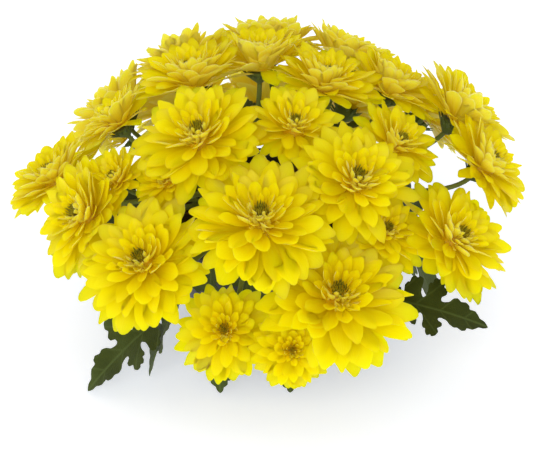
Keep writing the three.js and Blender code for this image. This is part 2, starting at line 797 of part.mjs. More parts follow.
const blooms = BLOOMS.map(bloomStation);
const green = CUTTINGS.map((name, i) => {
  const branches = blooms.filter((bloom) => bloom.cutting === i).sort((a, b) => a.origin.z - b.origin.z);
  branches.forEach((bloom, rank) => Object.assign(bloom, { rank }));
  const foot = polar(cuttingAzimuth(i), CUTTING_CIRCLE, SOIL_TOP - CUTTING_DEPTH + GAP);
  const head = foot.clone().setZ(FORK_LOWEST + FORK_STEP * branches.length);
  return [tube([foot, head], [FOOT_RADIUS, 0.7 * FOOT_RADIUS], FOOT_SIDES)];
});
for (const bloom of blooms) {
  const skin = branch(bloom);
  green[bloom.cutting].push(skin);
  taken.push(clump(skin, `cutting ${bloom.cutting} branch`));
  taken.push(clump(heartZone(bloom), `${bloom.name} heart`));
}

for (const [half, rows] of [[TOOTHED_HALF, SHOWN_LEAVES], [PLAIN_HALF, COVER_LEAVES]]) {
  for (const [azimuth, radius, height, tipAzimuth, tipRadius, tipHeight] of rows) {
    growLeaf(half, polar(azimuth, radius, height), polar(tipAzimuth, tipRadius, tipHeight));
  }
}

blooms.forEach((bloom, i) => {
  plant.add(named(`bloom_${bloom.name}`, growBloom(bloom, BLOOM_SEED + 17 * i).geometry(), YELLOW));
});

const leafDraw = seeded(LEAF_SEED);
for (let i = 0; i < SKIRT_LEAVES; i++) {
  const azimuth = SKIRT_START + SKIRT_STEP * i + 3 * leafDraw();
  const base = polar(azimuth, SKIRT_BASE[0], SKIRT_BASE[1]);
  const tip = polar(azimuth + 8 * leafDraw(), SKIRT_TIP[0] + 8 * leafDraw(), SKIRT_TIP[1] + 10 * leafDraw());
  growLeaf(TOOTHED_HALF, base, tip);
}
for (let i = 0; i < INNER_LEAVES; i++) {
  const azimuth = (360 * (i + 0.3)) / INNER_LEAVES + 6 * leafDraw();
  const base = polar(azimuth, INNER_BASE[0], INNER_BASE[1]);
  const tip = polar(azimuth + 12 * leafDraw(), INNER_TIP[0], INNER_TIP[1] + 8 * leafDraw());
  growLeaf(PLAIN_HALF, base, tip);
}

CUTTINGS.forEach((name, i) => {
  const fused = green[i].map((skin) => solid(skin.geometry())).reduce((whole, piece) => whole.add(piece));
  plant.add(named(`cutting_${name}`, shape(fused), GREEN));
});

export default plant;
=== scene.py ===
import itertools
import math
import random

import bmesh
import bpy
import numpy as np
from mathutils import Matrix, Vector, noise
from mathutils.bvhtree import BVHTree


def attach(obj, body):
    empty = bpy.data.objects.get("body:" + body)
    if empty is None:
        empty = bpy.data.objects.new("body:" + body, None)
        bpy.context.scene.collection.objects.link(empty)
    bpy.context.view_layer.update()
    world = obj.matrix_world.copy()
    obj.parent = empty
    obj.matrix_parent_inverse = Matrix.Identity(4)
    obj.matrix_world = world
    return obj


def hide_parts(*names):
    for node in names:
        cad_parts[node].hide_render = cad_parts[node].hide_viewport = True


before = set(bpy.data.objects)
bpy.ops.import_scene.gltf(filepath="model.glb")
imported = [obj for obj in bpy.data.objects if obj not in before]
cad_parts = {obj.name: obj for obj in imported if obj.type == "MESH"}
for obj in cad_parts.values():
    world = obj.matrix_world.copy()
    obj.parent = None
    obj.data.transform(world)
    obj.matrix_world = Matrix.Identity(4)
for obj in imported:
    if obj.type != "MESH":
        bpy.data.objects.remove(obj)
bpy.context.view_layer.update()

# Pot: the grower's round pot, injection moulded in charcoal polypropylene, with a collar round its rim
# and drain holes in its floor. It stands on its foot and holds the soil.
MM = 0.001
POT_HEIGHT = 84 * MM
POT_FOOT = 43 * MM
POT_COLLAR = 60 * MM
POT_NECK = 56.5 * MM
POT_UNDER = 73 * MM
POT_WALL = 1.8 * MM
DRAIN_RADIUS = 5 * MM
DRAIN_CIRCLE = 27 * MM
DRAIN_HOLES = 4
DRAIN_SIDES = 32
EDGE_ROUND = 0.25 * MM
POT_SIDES = 96


def linear(hex_colour):
    """An sRGB colour such as "f0cf08" as linear red, green, blue and alpha."""
    shares = [int(hex_colour[i : i + 2], 16) / 255 for i in (0, 2, 4)]
    return [s / 12.92 if s <= 0.04045 else ((s + 0.055) / 1.055) ** 2.4 for s in shares] + [1]


def add(tree, kind, inputs=None, **settings):
    """Adds a node with its settings, and gives each input a value or a link."""
    node = tree.nodes.new(kind)
    for name, value in settings.items():
        setattr(node, name, value)
    for name, value in (inputs or {}).items():
        if isinstance(value, bpy.types.NodeSocket):
            tree.links.new(value, node.inputs[name])
        else:
            node.inputs[name].default_value = value
    return node


def finish_named(name, roughness, ior=1.5):
    """A new material with only its main shader, and that shader."""
    material = bpy.data.materials.new(name)
    material.use_nodes = True
    shader = material.node_tree.nodes["Principled BSDF"]
    shader.inputs["Roughness"].default_value = roughness
    shader.inputs["IOR"].default_value = ior
    return material, material.node_tree, shader


def ramp(tree, share, stops):
    """A colour ramp over a 0 to 1 share, from pairs of place and sRGB colour."""
    node = add(tree, "ShaderNodeValToRGB", {"Fac": share})
    while len(node.color_ramp.elements) < len(stops):
        node.color_ramp.elements.new(0.5)
    for element, (place, colour) in zip(node.color_ramp.elements, stops):
        element.position = place
        element.color = linear(colour)
    return node.outputs["Color"]


def polar(azimuth, radius, height):
    """A point from its angle in degrees round +Z, its distance from the axis and its height."""
    angle = math.radians(azimuth)
    return Vector((radius * math.cos(angle), radius * math.sin(angle), height))


def mesh_from(form, name):
    """A finished bmesh as a mesh."""
    mesh = bpy.data.meshes.new(name)
    form.to_mesh(mesh)
    form.free()
    return mesh


def turned(profile, steps):
    """A bmesh turned round +Z from a profile of radius and height that starts and ends on the axis."""
    shell = bmesh.new()
    points = [shell.verts.new((radius, 0, height)) for radius, height in profile]
    for lower, upper in zip(points, points[1:]):
        shell.edges.new((lower, upper))
    bmesh.ops.spin(
        shell, geom=shell.verts[:] + shell.edges[:], cent=(0, 0, 0), axis=(0, 0, 1),
        angle=2 * math.pi, steps=steps, use_merge=True,
    )
    bmesh.ops.remove_doubles(shell, verts=shell.verts[:], dist=1e-6)
    bmesh.ops.recalc_face_normals(shell, faces=shell.faces[:])
    return shell


def drilled(shell, centres, radius, length, sides):
    """The shell with upright round holes through it."""
    drills = bmesh.new()
    for centre in centres:
        bmesh.ops.create_cone(
            drills, cap_ends=True, segments=sides, radius1=radius, radius2=radius,
            depth=length, matrix=Matrix.Translation(centre),
        )
    blocks = []
    for name, form in (("drilled", shell), ("drills", drills)):
        blocks.append(bpy.data.objects.new(name, mesh_from(form, name)))
        bpy.context.collection.objects.link(blocks[-1])
    cut = blocks[0].modifiers.new("holes", "BOOLEAN")
    cut.operation = "DIFFERENCE"
    cut.solver = "EXACT"
    cut.object = blocks[1]
    result = bmesh.new()
    result.from_object(blocks[0], bpy.context.evaluated_depsgraph_get())
    for block in blocks:
        bpy.data.objects.remove(block)
    return result


def piece_from(form, name, node, materials, smooth=40):
    """The finished piece: it stands for a CAD node and rides on the one body."""
    mesh = mesh_from(form, name)
    mesh.shade_smooth()
    mesh.set_sharp_from_angle(angle=math.radians(smooth))
    for material in materials:
        mesh.materials.append(material)
    piece = bpy.data.objects.new(name, mesh)
    bpy.context.collection.objects.link(piece)
    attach(piece, "root")
    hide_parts(node)
    return piece


polypropylene, tree, shader = finish_named("moulded polypropylene", 0.46, 1.49)
place = add(tree, "ShaderNodeTexCoord").outputs["Object"]
# Fine spark texture of the mould, grains of 0.6 mm, and broad dusty smears left by watering.
grain = add(tree, "ShaderNodeTexNoise", {"Vector": place, "Scale": 1600, "Detail": 2})
smears = add(tree, "ShaderNodeTexNoise", {"Vector": place, "Scale": 38, "Detail": 5, "Roughness": 0.6})
colour = ramp(tree, smears.outputs["Fac"], [(0.3, "1b1a19"), (0.62, "232120"), (0.8, "37332f")])
tree.links.new(colour, shader.inputs["Base Color"])
bump = add(tree, "ShaderNodeBump", {"Height": grain.outputs["Fac"], "Strength": 0.25, "Distance": 0.0001})
tree.links.new(bump.outputs["Normal"], shader.inputs["Normal"])

pot = turned(
    [
        (0, 1.2 * MM), (30 * MM, 1.2 * MM), (32 * MM, 0), (POT_FOOT - 1.2 * MM, 0),
        (POT_FOOT, 1.2 * MM), (POT_NECK, POT_UNDER), (POT_COLLAR - 0.6 * MM, POT_UNDER),
        (POT_COLLAR, POT_HEIGHT - 1.4 * MM), (POT_COLLAR - 1.2 * MM, POT_HEIGHT),
        (POT_COLLAR - POT_WALL - MM, POT_HEIGHT), (POT_COLLAR - POT_WALL - 1.4 * MM, POT_HEIGHT - MM),
        (POT_NECK - POT_WALL + 1.4 * MM, POT_UNDER + MM), (POT_NECK - POT_WALL, POT_UNDER - MM),
        (POT_FOOT - POT_WALL, 2 * POT_WALL), (POT_FOOT - 2 * POT_WALL, POT_WALL), (0, POT_WALL),
    ],
    POT_SIDES,
)
drains = [polar(360 * (k + 0.5) / DRAIN_HOLES, DRAIN_CIRCLE, 0) for k in range(DRAIN_HOLES)]
pot = drilled(pot, drains, DRAIN_RADIUS, 8 * POT_WALL, DRAIN_SIDES)
sharp = [e for e in pot.edges if e.is_manifold and e.calc_face_angle() > math.radians(35)]
bmesh.ops.bevel(
    pot, geom=sharp, affect="EDGES", offset=EDGE_ROUND, segments=2, profile=0.5, material=-1,
    clamp_overlap=True,
)
piece_from(pot, "growing_pot", "pot", [polypropylene])

# Soil: moist peat with chips of bark and grains of white perlite, pressed in by hand to a low mound
# under the rim. It fills the pot, and each cutting stands in a hole in it.
SOIL_TOP = 74 * MM
SOIL_MOUND = 4 * MM
SOIL_REACH = 54.1 * MM
BARK_CHIPS = 190
PERLITE_GRAINS = 60
CUTTINGS = ["front", "right", "back_right", "back_left", "left"]
CUTTING_CIRCLE = 30 * MM
STEM_HOLE = 4 * MM
SOIL_FLOOR = 2.1 * MM
# No chip lies nearer to the middle of a stem's hole than this.
STEM_ROOM = 6 * MM
SCATTER_REACH = 50 * MM
# The least and the most size of a chip and of a grain along each of its axes, in millimetres.
BARK_SPANS = [(2, 6), (1.5, 3), (0.7, 1.6)]
PERLITE_SPANS = [(0.9, 1.5), (0.8, 1.2), (0.7, 1.1)]
CHIP_RAGGED = 0.35 * MM


def cutting_azimuth(index):
    """The angle of a cutting round the pot. The first one stands at the front."""
    return -90 + 360 / len(CUTTINGS) * index


def soil_height(point):
    """The height of the top of the soil over a point."""
    share = min(1, math.hypot(point.x, point.y) / SOIL_REACH)
    lumps = 1.1 * noise.noise(point * 130) + 0.6 * noise.noise(point * 420)
    return SOIL_TOP - 1.6 * MM + (SOIL_MOUND - MM) * (1 - share**2) + lumps * MM


peat, tree, shader = finish_named("moist peat", 0.92, 1.4)
place = add(tree, "ShaderNodeTexCoord").outputs["Object"]
crumbs = add(tree, "ShaderNodeTexNoise", {"Vector": place, "Scale": 700, "Detail": 6, "Roughness": 0.7})
colour = ramp(tree, crumbs.outputs["Fac"], [(0.3, "17100b"), (0.5, "2f2118"), (0.72, "4a3627")])
tree.links.new(colour, shader.inputs["Base Color"])
bump = add(tree, "ShaderNodeBump", {"Height": crumbs.outputs["Fac"], "Strength": 0.8, "Distance": 0.0008})
tree.links.new(bump.outputs["Normal"], shader.inputs["Normal"])

bark, tree, shader = finish_named("pine bark", 0.85, 1.45)
place = add(tree, "ShaderNodeTexCoord").outputs["Object"]
fibres = add(tree, "ShaderNodeTexNoise", {"Vector": place, "Scale": 420, "Detail": 4})
colour = ramp(tree, fibres.outputs["Fac"], [(0.3, "3a2416"), (0.7, "76523a")])
tree.links.new(colour, shader.inputs["Base Color"])

perlite, tree, shader = finish_named("perlite", 0.8, 1.5)
place = add(tree, "ShaderNodeTexCoord").outputs["Object"]
pores = add(tree, "ShaderNodeTexNoise", {"Vector": place, "Scale": 1500, "Detail": 3})
colour = ramp(tree, pores.outputs["Fac"], [(0.3, "b9b4aa"), (0.6, "e6e3dc")])
tree.links.new(colour, shader.inputs["Base Color"])

soil = turned(
    [(0, SOIL_FLOOR), (20 * MM, SOIL_FLOOR), (41 * MM, SOIL_FLOOR)]
    + [(47.5 * MM, 38 * MM), (SOIL_REACH, SOIL_TOP - 2 * MM)]
    + [(SOIL_REACH * (1 - k / 12), SOIL_TOP) for k in range(1, 12)]
    + [(0, SOIL_TOP)],
    72,
)
for vertex in soil.verts:
    if vertex.co.z > SOIL_TOP - MM:
        vertex.co.z = soil_height(vertex.co)
stem_holes = [polar(cutting_azimuth(k), CUTTING_CIRCLE, SOIL_TOP) for k in range(len(CUTTINGS))]
soil = drilled(soil, stem_holes, STEM_HOLE, 40 * MM, 20)
scatter = random.Random(74)
for k in range(BARK_CHIPS + PERLITE_GRAINS):
    where = polar(scatter.uniform(0, 360), SCATTER_REACH * math.sqrt(scatter.random()), SOIL_TOP)
    if min((where - hole).length for hole in stem_holes) < STEM_ROOM:
        continue
    where.z = soil_height(where)
    spin = Matrix.Rotation(scatter.uniform(0, 6.28), 4, "Z")
    turn = spin @ Matrix.Rotation(scatter.uniform(-0.5, 0.5), 4, "X")
    spans = BARK_SPANS if k < BARK_CHIPS else PERLITE_SPANS
    size = Matrix.Diagonal([scatter.uniform(*span) * MM for span in spans] + [1])
    seat = Matrix.Translation(where) @ turn @ size
    if k < BARK_CHIPS:
        chip = bmesh.ops.create_cube(soil, size=1, matrix=seat)["verts"]
    else:
        chip = bmesh.ops.create_icosphere(soil, subdivisions=1, radius=1, matrix=seat)["verts"]
    for vertex in chip:
        vertex.co += CHIP_RAGGED * noise.noise_vector(vertex.co * 900)
    for face in {face for vertex in chip for face in vertex.link_faces}:
        face.material_index = 1 if k < BARK_CHIPS else 2
piece_from(soil, "potting_soil", "soil", [peat, bark, perlite], smooth=30)

# Cuttings: five rooted stems, pinched so that each forks low. Every branch climbs over the rim to one
# bloom and ends in its calyx, the cup of small green bracts. Lobed leaves grow from the branches.
# Each head's angle round the pot, distance from its axis, height of eye, width, lean and openness.
HEADS = [
    ("low_middle", -84, 124, 64, 46, 50, 0.95),
    ("front_right", -71, 116, 93, 88, 26, 1),
    ("front_left", -125, 119, 106, 80, 34, 1),
    ("front_centre", -92, 100, 135, 86, 16, 1),
    ("low_right", -31, 124, 101, 74, 38, 1),
    ("upper_right", -57, 89, 143, 76, 26, 1),
    ("upper_left", -127, 63, 158, 80, 18, 1),
    ("low_left", -102, 112, 68, 58, 44, 0.95),
    ("middle_right", -49, 99, 111, 54, 34, 0.85),
    ("far_left", -152, 120, 110, 74, 52, 1),
    ("far_right", -9, 128, 124, 66, 42, 1),
    ("shoulder_right", 9, 117, 138, 76, 40, 0.85),
    ("top_middle", -70, 44, 159, 60, 14, 0.9),
    ("top_left", 155, 49, 161, 72, 10, 0.75),
    ("top_right", 13, 35, 164, 68, 10, 0.8),
    ("crown", 100, 30, 168, 70, 6, 0.7),
    ("inner_left", -133, 82, 134, 44, 32, 0.8),
    ("middle_left", -149, 99, 130, 44, 38, 0.8),
    ("edge_left", 167, 93, 132, 60, 36, 1),
    ("back_edge_left", 179, 126, 105, 68, 26, 1),
    ("inner_right", -22, 80, 142, 58, 32, 0.95),
    ("top_far_right", 16, 76, 154, 66, 26, 0.8),
    ("bud", 158, 94, 110, 30, 55, 0.3),
    ("back_crown_left", 130, 80, 152, 72, 28, 1),
    ("back_crown", 89, 78, 156, 72, 26, 0.8),
    ("back_crown_right", 54, 80, 154, 70, 28, 0.85),
    ("back_left", 143, 119, 113, 74, 50, 1),
    ("back_right", 34, 119, 116, 72, 48, 1),
    ("back_low_left", 118, 117, 103, 74, 54, 1),
    ("back_low", 92, 117, 98, 74, 56, 1),
    ("back_low_right", 63, 117, 104, 74, 54, 1),
]
EYE_HEIGHT = 0.3
FORK_LOWEST = 82 * MM
FORK_STEP = 3 * MM
STEM_RADIUS = 3.4 * MM
BRANCH_RADIUS = 1.7 * MM
STALK_RADIUS = 1 * MM
STEM_TAPER = [1, 0.95, 0.9, 0.82, 0.72]
# How a branch bends: its rise and reach out of the stem, and its run in under the bloom, to its length.
BRANCH_RISE = 0.22
BRANCH_OUT = 0.2
BRANCH_IN = 0.3
# A calyx ends this far under its bloom. Its depth and swelling are shares of the bloom's radius.
BLOOM_SEAT = 1.3 * MM
CALYX_DEPTH = 0.22
CALYX_SWELL = [0.09, 0.15, 0.19, 0.2, 0.19]
# Each row of bracts: its distance from the axis and height as shares of that radius, and its number.
BRACT_ROWS = [(0.1, -0.2, 11), (0.15, -0.14, 13)]
RIM_CLEARANCE = 4 * MM
FLOOR_CLEARANCE = 2 * MM


class Head:
    """A bloom's place: its own +Z is its axis, and its origin is where the outer petals root."""

    def __init__(self, name, azimuth, radius, height, diameter, lean, openness):
        outward = polar(azimuth, 1, 0)
        self.name = name
        self.openness = openness
        self.size = diameter / 2 * MM
        self.axis = outward * math.sin(math.radians(lean)) + Vector((0, 0, math.cos(math.radians(lean))))
        self.origin = polar(azimuth, radius * MM, height * MM) - self.axis * EYE_HEIGHT * self.size
        beside = Vector((0, 0, 1)).cross(outward)
        self.turn = np.array([beside.cross(self.axis), beside, self.axis]).T
        self.cutting = sector(azimuth)

    def placed(self, points):
        """Points of the bloom's own frame, as an array of rows, in the plant's frame."""
        return points @ self.turn.T + np.array(self.origin)


def sector(azimuth):
    """The cutting in whose share of the circle an angle falls."""
    share = 360 / len(CUTTINGS)
    return int(((azimuth + 90 + share / 2) % 360) // share)


def blade_form(across, along):
    """A closed flat blade. X runs across it and Y along it, each from -1 to 1. Z is 1 on the upper face,
    -1 on the lower one and 0 at the rim."""
    form = bmesh.new()
    bmesh.ops.create_grid(form, x_segments=across, y_segments=along, size=1)
    for vertex in form.verts:
        rim = max(abs(vertex.co.x), abs(vertex.co.y)) > 0.999
        vertex.co.z = 0 if rim else 1
    copy = bmesh.ops.duplicate(form, geom=form.verts[:] + form.edges[:] + form.faces[:])["geom"]
    below = [part for part in copy if isinstance(part, bmesh.types.BMFace)]
    for vertex in [part for part in copy if isinstance(part, bmesh.types.BMVert)]:
        vertex.co.z *= -1
    bmesh.ops.reverse_faces(form, faces=below)
    for face in below:
        face.material_index = 1
    bmesh.ops.remove_doubles(form, verts=form.verts[:], dist=1e-4)
    layer = form.loops.layers.uv.new("blade")
    for face in form.faces:
        for loop in face.loops:
            loop[layer].uv = (loop.vert.co.x / 2 + 0.5, loop.vert.co.y / 2 + 0.5)
    return mesh_from(form, "blade")


def points_of(mesh):
    """A mesh's points as rows."""
    flat = np.empty(3 * len(mesh.vertices))
    mesh.vertices.foreach_get("co", flat)
    return flat.reshape(-1, 3)


# How wide a petal is along its length, from its narrow claw to its blunt tip.
PETAL_PLACES = [0, 0.14, 0.34, 0.58, 0.76, 0.9, 1]
PETAL_WIDTHS = [0.36, 0.54, 0.78, 0.95, 1, 0.9, 0.56]
STATIONS = np.linspace(0, 1, 17)


def curved(flat, petal):
    """A blade form's points, curved as one petal in its bloom's frame. Angles are in radians."""
    v = flat[:, 0]
    s = (flat[:, 1] + 1) / 2
    u = s - petal["blunt"] * v**2 * s**3
    # The spine's run and climb are summed from station to station.
    halves = 2 * (len(STATIONS) - 1)
    angle = petal["pitch"] + petal["arch"] * STATIONS**1.5
    run = np.concatenate(([0], np.cumsum(np.cos(angle[1:]) + np.cos(angle[:-1])) / halves))
    climb = np.concatenate(([0], np.cumsum(np.sin(angle[1:]) + np.sin(angle[:-1])) / halves))
    out = petal["ring"] + petal["length"] * np.interp(u, STATIONS, run)
    up = petal["height"] + petal["length"] * np.interp(u, STATIONS, climb)
    lean = np.interp(u, STATIONS, angle)
    half = petal["width"] / 2 * np.interp(s, PETAL_PLACES, PETAL_WIDTHS)
    half *= 1 - petal["taper"] * np.maximum(0, (s - 0.62) / 0.38)
    curl = petal["cup"] * (1.25 - 0.5 * s)
    across = half * np.sin(v * curl) / curl
    lift = half * (1 - np.cos(v * curl)) / curl
    furrow = petal["channel"] * half * np.exp(-(((np.abs(v) - 0.5) / 0.2) ** 2))
    lift -= furrow * np.sin(np.pi * np.minimum(s, 0.9))
    lift += petal["ripple"] * half * v**2 * np.sin(7 * s + petal["phase"])
    turn = petal["roll"] + petal["twist"] * s
    across, lift = across * np.cos(turn) - lift * np.sin(turn), across * np.sin(turn) + lift * np.cos(turn)
    lift += flat[:, 2] * petal["thickness"] / 2 * (1 - 0.5 * v**2)
    across += petal["sway"] * petal["length"] * s**2
    radius = out - np.sin(lean) * lift
    c, t = math.cos(petal["azimuth"]), math.sin(petal["azimuth"])
    return np.stack([radius * c - across * t, radius * t + across * c, up + np.cos(lean) * lift], axis=1)


class Growth:
    """Many copies of small forms, each with its own place, that end as one piece."""

    def __init__(self):
        self.form = bmesh.new()
        self.points = []
        self.marks = []

    def grow(self, mesh, points, **marks):
        self.form.from_mesh(mesh)
        self.points.append(points)
        self.marks.append((len(points), marks))

    def ended(self, name, node, slot, materials, smooth=65):
        piece = piece_from(self.form, name, node, materials, smooth)
        piece.data.vertices.foreach_set("co", np.concatenate(self.points).ravel())
        for mark in self.marks[0][1]:
            values = np.concatenate([np.full(count, marks[mark]) for count, marks in self.marks])
            piece.data.attributes.new(mark, "FLOAT", "POINT").data.foreach_set("value", values)
        piece.data.update()
        piece.data.set_sharp_from_angle(angle=math.radians(smooth))
        return piece


def tube_form(sides, steps):
    """A closed tube of radius 1 round +Z, from -1 to 1, with a point in the middle of each end."""
    form = bmesh.new()
    bmesh.ops.create_cone(form, cap_ends=False, segments=sides, radius1=1, radius2=1, depth=2)
    lengthwise = [e for e in form.edges if abs(e.verts[0].co.z - e.verts[1].co.z) > 1]
    bmesh.ops.subdivide_edges(form, edges=lengthwise, cuts=steps - 1, use_grid_fill=True)
    rims = [e for e in form.edges if e.is_boundary]
    caps = bmesh.ops.holes_fill(form, edges=rims, sides=0)["faces"]
    bmesh.ops.poke(form, faces=caps)
    bmesh.ops.recalc_face_normals(form, faces=form.faces[:])
    return mesh_from(form, "tube")


def swept(flat, line, radii, ribs=0.0):
    """A tube form's points, swept along a line, with radii spread evenly along it."""
    line = np.array(line)
    share = (flat[:, 2] + 1) / 2 * (len(line) - 1)
    low = np.clip(share.astype(int), 0, len(line) - 2)
    centre = line[low] + (line[low + 1] - line[low]) * (share - low)[:, None]
    ahead = np.gradient(line, axis=0)
    ahead /= np.linalg.norm(ahead, axis=1)[:, None]
    ahead = ahead[low] + (ahead[low + 1] - ahead[low]) * (share - low)[:, None]
    beside = np.cross(ahead, np.array((0.31, 0.95, 0.07)))
    beside /= np.linalg.norm(beside, axis=1)[:, None]
    over = np.cross(ahead, beside)
    radius = np.interp(share, np.arange(len(radii)) * (len(line) - 1) / (len(radii) - 1), radii)
    radius *= 1 + ribs * np.cos(5 * np.arctan2(flat[:, 1], flat[:, 0]))
    return centre + beside * (flat[:, 0] * radius)[:, None] + over * (flat[:, 1] * radius)[:, None]


def bezier(a, b, c, d, steps):
    """Points along a cubic curve."""
    shares = [k / steps for k in range(steps + 1)]
    return [a * (1 - t) ** 3 + b * 3 * t * (1 - t) ** 2 + c * 3 * t * t * (1 - t) + d * t**3 for t in shares]


def branch_curve(head):
    """Out of the main stem, over the pot's rim, and in under the bloom."""
    start = polar(cutting_azimuth(head.cutting), CUTTING_CIRCLE, FORK_LOWEST + FORK_STEP * head.rank)
    neck = head.origin - head.axis * (BLOOM_SEAT + CALYX_DEPTH * head.size)
    span = (neck - start).length
    heading = Vector((neck.x - start.x, neck.y - start.y, 0)).normalized()
    out_of = start + Vector((0, 0, BRANCH_RISE * span)) + heading * BRANCH_OUT * span
    into = neck - head.axis * BRANCH_IN * span
    inside, outside = POT_NECK - 2 * RIM_CLEARANCE, POT_COLLAR + RIM_CLEARANCE
    while True:
        line = bezier(start, out_of, into, neck, 24)
        near = [p for p in line if inside < math.hypot(p.x, p.y) < outside]
        if all(p.z > POT_HEIGHT + RIM_CLEARANCE for p in near):
            return line
        out_of.z += RIM_CLEARANCE
        into.z += RIM_CLEARANCE


class Obstacle:
    """Something in place already: its surface, the ball that holds it, and whose it is."""

    def __init__(self, points, faces, owner):
        self.centre = points.mean(axis=0)
        self.reach = np.linalg.norm(points - self.centre, axis=1).max()
        self.tree = BVHTree.FromPolygons(points.tolist(), faces)
        self.owner = owner

    def touches(self, other):
        if np.linalg.norm(self.centre - other.centre) > self.reach + other.reach:
            return False
        return bool(self.tree.overlap(other.tree))


def faces_of(mesh):
    """A mesh's faces as tuples of point numbers."""
    return [tuple(face.vertices) for face in mesh.polygons]


heads = [Head(*row) for row in HEADS]
for index in range(len(CUTTINGS)):
    for rank, head in enumerate(sorted((h for h in heads if h.cutting == index), key=lambda h: h.origin.z)):
        head.rank = rank

stem_form, branch_form, stalk_form = tube_form(14, 14), tube_form(10, 20), tube_form(8, 10)
cup_form = tube_form(16, 6)
bract_form = blade_form(2, 4)
taken = []
growths = [Growth() for name in CUTTINGS]
for index, growth in enumerate(growths):
    forks = FORK_LOWEST + FORK_STEP * len([h for h in heads if h.cutting == index])
    foot = polar(cutting_azimuth(index), CUTTING_CIRCLE, SOIL_TOP - 19.7 * MM)
    line = [foot.lerp(Vector((foot.x, foot.y, forks)), k / 8) for k in range(9)]
    radii = [share * STEM_RADIUS for share in STEM_TAPER]
    growth.grow(stem_form, swept(points_of(stem_form), line, radii, 0.05), leafy=0.0, tone=0.3, wood=1.0)

tint = random.Random(82)
for head in heads:
    growth = growths[head.cutting]
    head.line = branch_curve(head)
    points = swept(points_of(branch_form), head.line, [BRANCH_RADIUS, 0.8 * BRANCH_RADIUS], 0.07)
    growth.grow(branch_form, points, leafy=0.0, tone=tint.random(), wood=0.15)
    taken.append(Obstacle(points, faces_of(branch_form), f"{head.name} branch"))
    depth = CALYX_DEPTH * head.size
    cup = [head.origin - head.axis * (BLOOM_SEAT + depth * (1.15 - k / 5)) for k in range(6)]
    swell = [0.8 * BRANCH_RADIUS] + [share * head.size for share in CALYX_SWELL]
    growth.grow(cup_form, swept(points_of(cup_form), cup, swell), leafy=0.4, tone=tint.random(), wood=0.0)
    for row, (ring, height, count) in enumerate(BRACT_ROWS):
        for k in range(count):
            bract = dict(
                azimuth=2 * math.pi * (k + row / 2) / count, ring=ring * head.size,
                height=height * head.size - BLOOM_SEAT, length=(0.16 + 0.05 * row) * head.size,
                width=0.09 * head.size, pitch=math.radians(42 - 14 * row), arch=math.radians(22), cup=0.7,
                channel=0, ripple=0, phase=0, roll=0, twist=0, sway=0, blunt=0.3, taper=0, thickness=0.5 * MM,
            )
            points = head.placed(curved(points_of(bract_form), bract))
            growth.grow(bract_form, points, leafy=0.5, tone=tint.random(), wood=0.0)

# The space that a bloom's heart keeps for itself. Low blooms have grown towards the light between their
# neighbours, so theirs reaches further up, by the factor given.
OPEN_ABOVE = {"low_middle": 2.6, "middle_right": 2.4, "low_left": 1.8}
zone_form = bmesh.new()
bmesh.ops.create_cone(zone_form, cap_ends=True, segments=10, radius1=0.3, radius2=0.345, depth=0.87)
bmesh.ops.translate(zone_form, vec=(0, 0, 0.185), verts=zone_form.verts[:])
zone_mesh = mesh_from(zone_form, "zone")
for head in heads:
    zone = points_of(zone_mesh) * head.size
    zone[:, 2] *= np.where(zone[:, 2] > 0, OPEN_ABOVE.get(head.name, 1), 1)
    points = head.placed(zone)
    taken.append(Obstacle(points, faces_of(zone_mesh), f"{head.name} heart"))

# Half of a leaf's outline as shares of its length: blunt teeth on three lobes, with deep bays between.
LEAF_HALF = [
    (0, 0.02), (0.05, 0.035), (0.095, 0.055), (0.115, 0.12), (0.11, 0.19), (0.135, 0.235), (0.155, 0.225),
    (0.165, 0.285), (0.2, 0.31), (0.225, 0.285), (0.245, 0.315), (0.285, 0.305), (0.29, 0.255),
    (0.285, 0.2), (0.285, 0.14), (0.31, 0.095), (0.335, 0.12), (0.35, 0.19), (0.345, 0.26), (0.365, 0.3),
    (0.385, 0.29), (0.39, 0.345), (0.415, 0.38), (0.445, 0.355), (0.455, 0.385), (0.495, 0.375),
    (0.52, 0.325), (0.5, 0.27), (0.545, 0.23), (0.54, 0.185), (0.495, 0.155), (0.495, 0.11), (0.525, 0.1),
    (0.58, 0.12), (0.615, 0.17), (0.66, 0.19), (0.695, 0.165), (0.745, 0.185), (0.785, 0.16),
    (0.79, 0.12), (0.85, 0.12), (0.885, 0.085), (0.905, 0.055), (0.955, 0.045), (0.985, 0.02),
]
LEAF_THICKNESS = 0.45 * MM
LEAF_DROOP = 0.16
LEAF_FOLD = 0.22
# Where a leaf is cut across and lengthwise, so that it can bend.
LEAF_CUTS = [0.08, 0.16, 0.24, 0.32, 0.4, 0.48, 0.56, 0.64, 0.72, 0.8, 0.88, 0.95]
LEAF_ASIDES = [-0.26, -0.16, -0.07, 0, 0.07, 0.16, 0.26]
TOOTH_ROUNDING = 0.011
STALK_SPACING = 7 * MM
# What a leaf tries in turn until it is clear: its length's share, its tip's lift in millimetres, and its
# swing and roll in degrees.
SHRINKS = (1, 0.88, 0.76, 0.64)
LIFTS = (0, 8, -8, 16, -16, 26)
SWINGS = (0, 7, -7, 14, -14)
ROLLS = (0, 14, -14, 28, -28)
# The midrib under a leaf: places along it, and its radius at each in millimetres.
RIB_PLACES = (0.12, 0.3, 0.5, 0.7, 0.86)
RIB_RADII = (0.75, 0.6, 0.48, 0.36, 0.24)
SKIRT_LEAVES = 12
INNER_LEAVES = 8
# Leaves seen from the front: azimuth, radius and height of the blade's base, then of its tip.
SHOWN_LEAVES = [
    (-137, 81, 42, -144, 131, 11),
    (-131, 79, 50, -131, 99, 11),
    (-110, 78, 48, -108, 92, 9),
    (-82, 80, 46, -81, 88, 8),
    (-67, 80, 62, -68, 99, 36),
    (-55, 78, 64, -57, 104, 42),
    (-46, 98, 62, -33, 146, 56),
    (-51, 88, 82, -44, 119, 54),
]
